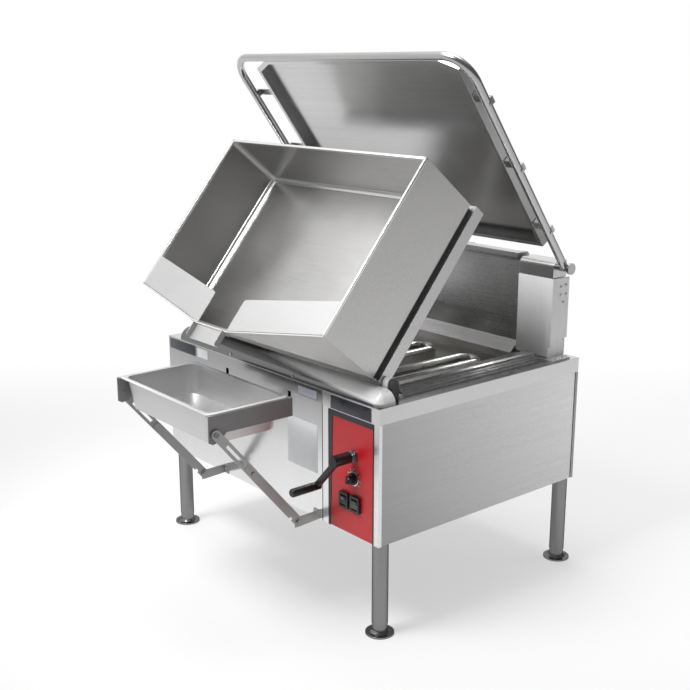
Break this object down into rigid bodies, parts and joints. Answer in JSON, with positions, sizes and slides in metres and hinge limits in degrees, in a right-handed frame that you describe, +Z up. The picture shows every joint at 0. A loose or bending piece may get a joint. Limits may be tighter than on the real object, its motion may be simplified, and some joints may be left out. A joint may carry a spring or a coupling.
{
  "type": "tilting skillet",
  "caption": "Floor-standing gas braising pan on legs, crank-tilted to pour over a V-shaped lip, with a raised lid and a fold-away receiving-pan rack.",
  "frame": {"origin": "centre of the four feet's inner anchor holes, on the floor", "axes": "+X to the right seen from the front, +Y from the front to the back, +Z up"},
  "size_m": [1.228, 1.339, 1.7375],
  "materials": {
    "brushed_steel": "brushed stainless sheet",
    "polished_steel": "bright brushed stainless sheet",
    "pan_steel": "satin stainless plate",
    "frame_tube": "satin stainless tube",
    "hardware": "plain stainless",
    "receiving_pan": "satin stainless pan",
    "well_steel": "heat-dulled stainless",
    "dark_iron": "dark paint",
    "insulation": "dark mineral strip",
    "black_plastic": "satin black",
    "black_paint": "black enamel",
    "red_panel": "red enamel"
  },
  "bodies": {
    "cabinet": {"side_panel_left": "brushed_steel", "side_panel_right": "brushed_steel", "front_panel": "polished_steel", "control_frame": "polished_steel", "back_panel": "brushed_steel", "base_pan": "brushed_steel", "deck": "brushed_steel", "bull_nose": "polished_steel", "curb_rails": "brushed_steel", "well_liner": "well_steel", "legs": "brushed_steel", "leg_sockets": "dark_iron", "flanged_feet": "hardware", "burner_loops": "well_steel", "gas_manifold": "dark_iron", "gas_valve": "dark_iron", "gas_inlet": "dark_iron", "flue_riser": "brushed_steel", "tower_housings": "brushed_steel", "tower_caps": "brushed_steel", "tower_brackets": "hardware", "lid_springs": "dark_iron", "bearing_blocks": "hardware", "tilt_gearbox": "dark_iron", "chain_case": "dark_iron", "crank_bush": "black_plastic", "control_bezel": "black_plastic", "control_panel": "red_panel", "thermostat_body": "black_plastic", "switch_guards": "black_plastic", "rack_brackets": "hardware", "panel_screws": "hardware", "cord_gland": "black_plastic"},
    "pan": {"pan_shell": "pan_steel", "splash_wings": "polished_steel", "pouring_spout": "polished_steel", "pan_insulation": "insulation", "base_casing": "brushed_steel", "trunnion_pins": "hardware"},
    "lid": {"lid_sheet": "brushed_steel", "lid_frame_tube": "frame_tube", "lid_sleeves": "frame_tube", "lid_standoffs": "frame_tube"},
    "crank": {"crank_shaft": "hardware", "crank_arm": "black_paint"},
    "grip": {"crank_grip": "black_paint"},
    "knob": {"thermostat_knob": "black_plastic"},
    "rocker_left": {"rocker_left": "black_plastic"},
    "rocker_right": {"rocker_right": "black_plastic"},
    "rack_arms": {"lower_arms": "hardware", "slotted_links": "hardware"},
    "rack_rails": {"rack_rails": "hardware"},
    "receiving_pan": {"receiving_pan": "receiving_pan"}
  },
  "joints": [
    {"name": "pan_tilt", "type": "hinge", "parent": "cabinet", "child": "pan", "pos_m": [0, -0.368, 0.789], "axis": [1, 0, 0], "range_deg": [-50.6, 29.4]},
    {"name": "lid_hinge", "type": "hinge", "parent": "cabinet", "child": "lid", "pos_m": [0, 0.352, 1.056], "axis": [1, 0, 0], "range_deg": [-20, 18]},
    {"name": "crank_turn", "type": "hinge", "parent": "cabinet", "child": "crank", "pos_m": [0.47, -0.4535, 0.562], "axis": [0, 1, 0], "range_deg": [-1215, 706]},
    {"name": "grip_spin", "type": "hinge", "parent": "crank", "child": "grip", "pos_m": [0.36497, -0.5535, 0.44937], "axis": [0, 1, 0], "continuous": true},
    {"name": "knob_turn", "type": "hinge", "parent": "cabinet", "child": "knob", "pos_m": [0.471, -0.4535, 0.49], "axis": [0, 1, 0], "range_deg": [0, 270]},
    {"name": "left_rocker_tilt", "type": "hinge", "parent": "cabinet", "child": "rocker_left", "pos_m": [0.431, -0.4555, 0.41], "axis": [1, 0, 0], "range_deg": [-14, 0]},
    {"name": "right_rocker_tilt", "type": "hinge", "parent": "cabinet", "child": "rocker_right", "pos_m": [0.483, -0.4555, 0.41], "axis": [1, 0, 0], "range_deg": [-14, 0]},
    {"name": "rack_fold", "type": "hinge", "parent": "cabinet", "child": "rack_arms", "pos_m": [0.0315, -0.5385, 0.318], "axis": [1, 0, 0], "range_deg": [-40, 0]},
    {"name": "rail_fold", "type": "hinge", "parent": "rack_arms", "child": "rack_rails", "pos_m": [0.0315, -0.8335, 0.668], "axis": [1, 0, 0], "range_deg": [-50, 0]},
    {"name": "receiving_pan_lift", "type": "slide", "parent": "rack_rails", "child": "receiving_pan", "axis": [0, 0, 1], "range_m": [0, 0.03]}
  ],
  "couplings": [
    {"joint": "crank_turn", "follows": "pan_tilt", "ratio": 24},
    {"joint": "rail_fold", "follows": "rack_fold", "ratio": 1.25}
  ]
}
